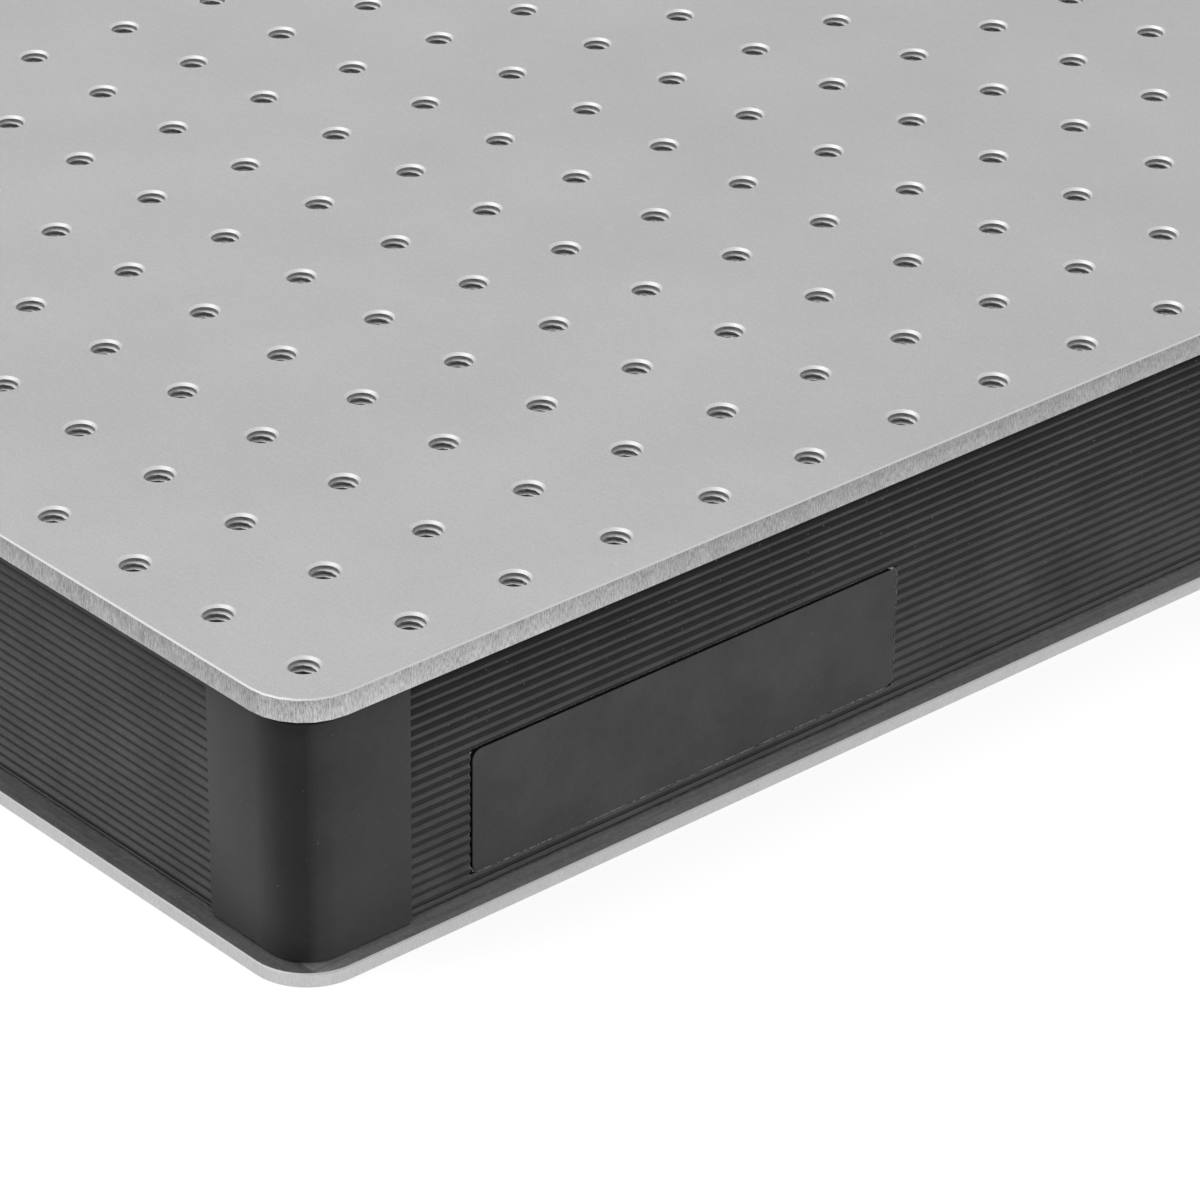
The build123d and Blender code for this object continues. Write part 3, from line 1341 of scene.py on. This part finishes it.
@dataclass
class Nameplate:
    """The blank plate in the front panel's pocket, with painted shade on its rim."""

    corner_radius: float = 2.0 * MM
    bevel: float = 0.12 * MM
    corner_steps: int = 6
    facing: float = 0.5
    grain: float = 0.008 * MM

    def build(self) -> bpy.types.Object:
        """Builds and dresses the plate.

        Returns:
            The finished piece.
        """
        low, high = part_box("nameplate")
        middle = (low + high) / 2
        half = (high - low) / 2
        loops = []
        for y, inset in ((low.y, self.bevel), (low.y + self.bevel, 0.0), (high.y, 0.0)):
            radius = self.corner_radius - inset
            outline = rounded_outline(half.x - inset, half.z - inset, radius, self.corner_steps)
            loops.append([Vector((middle.x + x, y, middle.z + z)) for x, z in outline])
        piece = loft("blank_nameplate", loops)
        shade(piece)
        face = BlackPlastic("plate_black_plastic", level=0.080, roughness=0.50, grain=self.grain,
                            dust=0.0, sheen=0.08).make()
        # painted shade: the plate's sides are nearly black and stand for the shadow in the pocket's gap
        rim = BlackPlastic("plate_rim_painted_shade", level=0.006, roughness=0.60, grain=self.grain,
                           dust=0.0, sheen=0.03).make()
        paint(piece, (face, rim), lambda side: 0 if side.normal.y < -self.facing else 1)
        return seat(piece, "plate_plastic", "nameplate")


@dataclass
class Inside:
    """The walls and core ribbons, which keep their own solids."""

    def dress(self) -> None:
        """Gives the hidden solids their plain finishes."""
        foil = HiddenMetal("core_foil", level=0.42, metallic=1.0).make()
        sheet = HiddenMetal("painted_wall", level=0.03, metallic=0.0).make()
        for name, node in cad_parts.items():
            if name.startswith("core_ribbon"):
                self._give(node, foil)
            elif name.startswith("wall"):
                self._give(node, sheet)

    @staticmethod
    def _give(node: bpy.types.Object, material: bpy.types.Material) -> None:
        """Puts one material in all of a node's slots."""
        if not node.material_slots:
            node.data.materials.append(material)
        for holder in node.material_slots:
            holder.material = material
        LOG.info("%s: %s", node.name, material.name)


@dataclass(frozen=True)
class Lamp:
    """One square soft lamp: its place and target in metres, its power in watts."""

    name: str
    place: tuple[float, float, float]
    target: tuple[float, float, float]
    size: float
    power: float
    mirrored: bool = False

    def hang(self) -> None:
        """Makes the lamp and points it at its target."""
        data = bpy.data.lights.new(self.name, "AREA")
        data.shape = "SQUARE"
        data.size = self.size
        data.energy = self.power
        lamp = link(self.name, data)
        lamp.location = self.place
        lamp.rotation_euler = (Vector(self.target) - Vector(self.place)).to_track_quat("-Z", "Y").to_euler()
        lamp.visible_glossy = self.mirrored


@dataclass
class Studio:
    """The pale floor, the soft lamps and the camera."""

    camera_place: tuple[float, float, float] = (-757.2 * MM, -824.7 * MM, 562.9 * MM)
    camera_look: tuple[float, float, float] = (0.58303, 0.65045, -0.48681)
    camera_roll: float = 0.722
    lens: float = 168.49
    floor_size: float = 8.0
    floor_drop: float = 0.05 * MM
    floor_level: float = 0.60
    shadow_level: float = 0.28
    shadow_reach: float = 0.7
    glow: float = 0.80
    backdrop: float = 1.0
    ambient: float = 0.15

    def build(self) -> None:
        """Sets up everything that isn't the board."""
        self._view()
        self._floor()
        self._world()
        self._lamps()
        self._camera()

    @staticmethod
    def _view() -> None:
        """Chooses the plain view transform."""
        bpy.context.scene.view_settings.view_transform = "Standard"

    def _floor(self) -> None:
        """Lays a pale floor that is white to the camera and keeps the shadow near the board."""
        half = self.floor_size / 2
        mesh = bpy.data.meshes.new("floor")
        level = CAD_BOX[0].z - self.floor_drop
        corners = [(-half, -half, level), (half, -half, level), (half, half, level), (-half, half, level)]
        mesh.from_pydata(corners, [], [(0, 1, 2, 3)])
        floor = link("floor", mesh)
        g = Graph(self._tree("pale_floor"))
        plain = g.add("ShaderNodeBsdfDiffuse", None, {"Color": (*grey(self.floor_level), 1.0)}, "BSDF")
        faint = g.add("ShaderNodeBsdfDiffuse", None, {"Color": (*grey(self.shadow_level), 1.0)}, "BSDF")
        glow = g.add("ShaderNodeEmission", None, {"Color": (*grey(1.0), 1.0), "Strength": self.glow}, "Emission")
        lit = g.add("ShaderNodeAddShader", None, {0: faint, 1: glow}, 0)
        white = g.add("ShaderNodeEmission", None, {"Color": (*grey(1.0), 1.0), "Strength": 1.0}, "Emission")
        place = g.add("ShaderNodeTexCoord", output="Object")
        away = g.add("ShaderNodeVectorMath", {"operation": "LENGTH"}, {0: place}, "Value")
        far = ((away - self.shadow_reach) / self.shadow_reach).clamped()
        seen = g.add("ShaderNodeMixShader", None, {0: far, 1: lit, 2: white}, 0)
        surface = g.add("ShaderNodeMixShader", None, {0: self._seen(g), 1: plain, 2: seen}, 0)
        g.add("ShaderNodeOutputMaterial", None, {"Surface": surface})
        mesh.materials.append(bpy.data.materials["pale_floor"])

    @staticmethod
    def _tree(name: str) -> bpy.types.NodeTree:
        """An empty tree of a new material."""
        material = bpy.data.materials.new(name)
        material.use_nodes = True
        material.node_tree.nodes.clear()
        return material.node_tree

    @staticmethod
    def _seen(g: Graph) -> Signal:
        """1 on rays that show the surroundings: straight, mirrored or through glass."""
        path = g.add("ShaderNodeLightPath")
        kinds = ("Is Camera Ray", "Is Glossy Ray", "Is Transmission Ray")
        camera, glossy, clear = (Signal(g, path.node.outputs[kind], path.node) for kind in kinds)
        return camera.math("MAXIMUM", glossy).math("MAXIMUM", clear)

    def _world(self) -> None:
        """Makes an even pale surround, white to the camera."""
        world = bpy.data.worlds.new("studio")
        world.use_nodes = True
        world.node_tree.nodes.clear()
        g = Graph(world.node_tree)
        strength = self._seen(g) * (self.backdrop - self.ambient) + self.ambient
        shell = g.add("ShaderNodeBackground", None, {"Color": (*grey(1.0), 1.0), "Strength": strength})
        g.add("ShaderNodeOutputWorld", None, {"Surface": shell})
        bpy.context.scene.world = world

    @staticmethod
    def _lamps() -> None:
        """Hangs the soft lamps, of which the metal mirrors only the first."""
        centre = tuple((CAD_BOX[0] + CAD_BOX[1]) / 2)
        below = (-0.7, 0.75, 0.0)
        for lamp in (
            Lamp("overhead", (-0.7, 0.75, 1.6), below, size=2.2, power=18.0, mirrored=True),
            Lamp("overhead_fill", (-0.7, 0.75, 1.61), below, size=2.2, power=24.0),
            Lamp("left_box", (-2.2, 1.0, 1.4), centre, size=1.2, power=13.0),
            Lamp("front_box", (1.0, -2.0, 1.4), centre, size=1.2, power=30.0),
        ):
            lamp.hang()

    def _camera(self) -> None:
        """Places the camera where the photograph was taken from."""
        data = bpy.data.cameras.new("camera")
        data.lens = self.lens
        data.sensor_width = 36.0
        data.clip_start = 0.01
        data.clip_end = 50.0
        camera = link("camera", data)
        camera.location = self.camera_place
        aim = Vector(self.camera_look).to_track_quat("-Z", "Y").to_matrix().to_4x4()
        roll = Matrix.Rotation(math.radians(self.camera_roll), 4, "Z")
        camera.rotation_euler = (aim @ roll).to_euler()
        bpy.context.scene.camera = camera


def main() -> None:
    """Builds the studio and the board in order."""
    logging.basicConfig(level=logging.INFO, format="%(name)s %(message)s")
    Studio().build()
    TopSkin().build()
    BottomSkin().build()
    RibbedTrim().build()
    CornerCaps().build()
    Nameplate().build()
    Inside().dress()


if __name__ == "__main__":
    main()
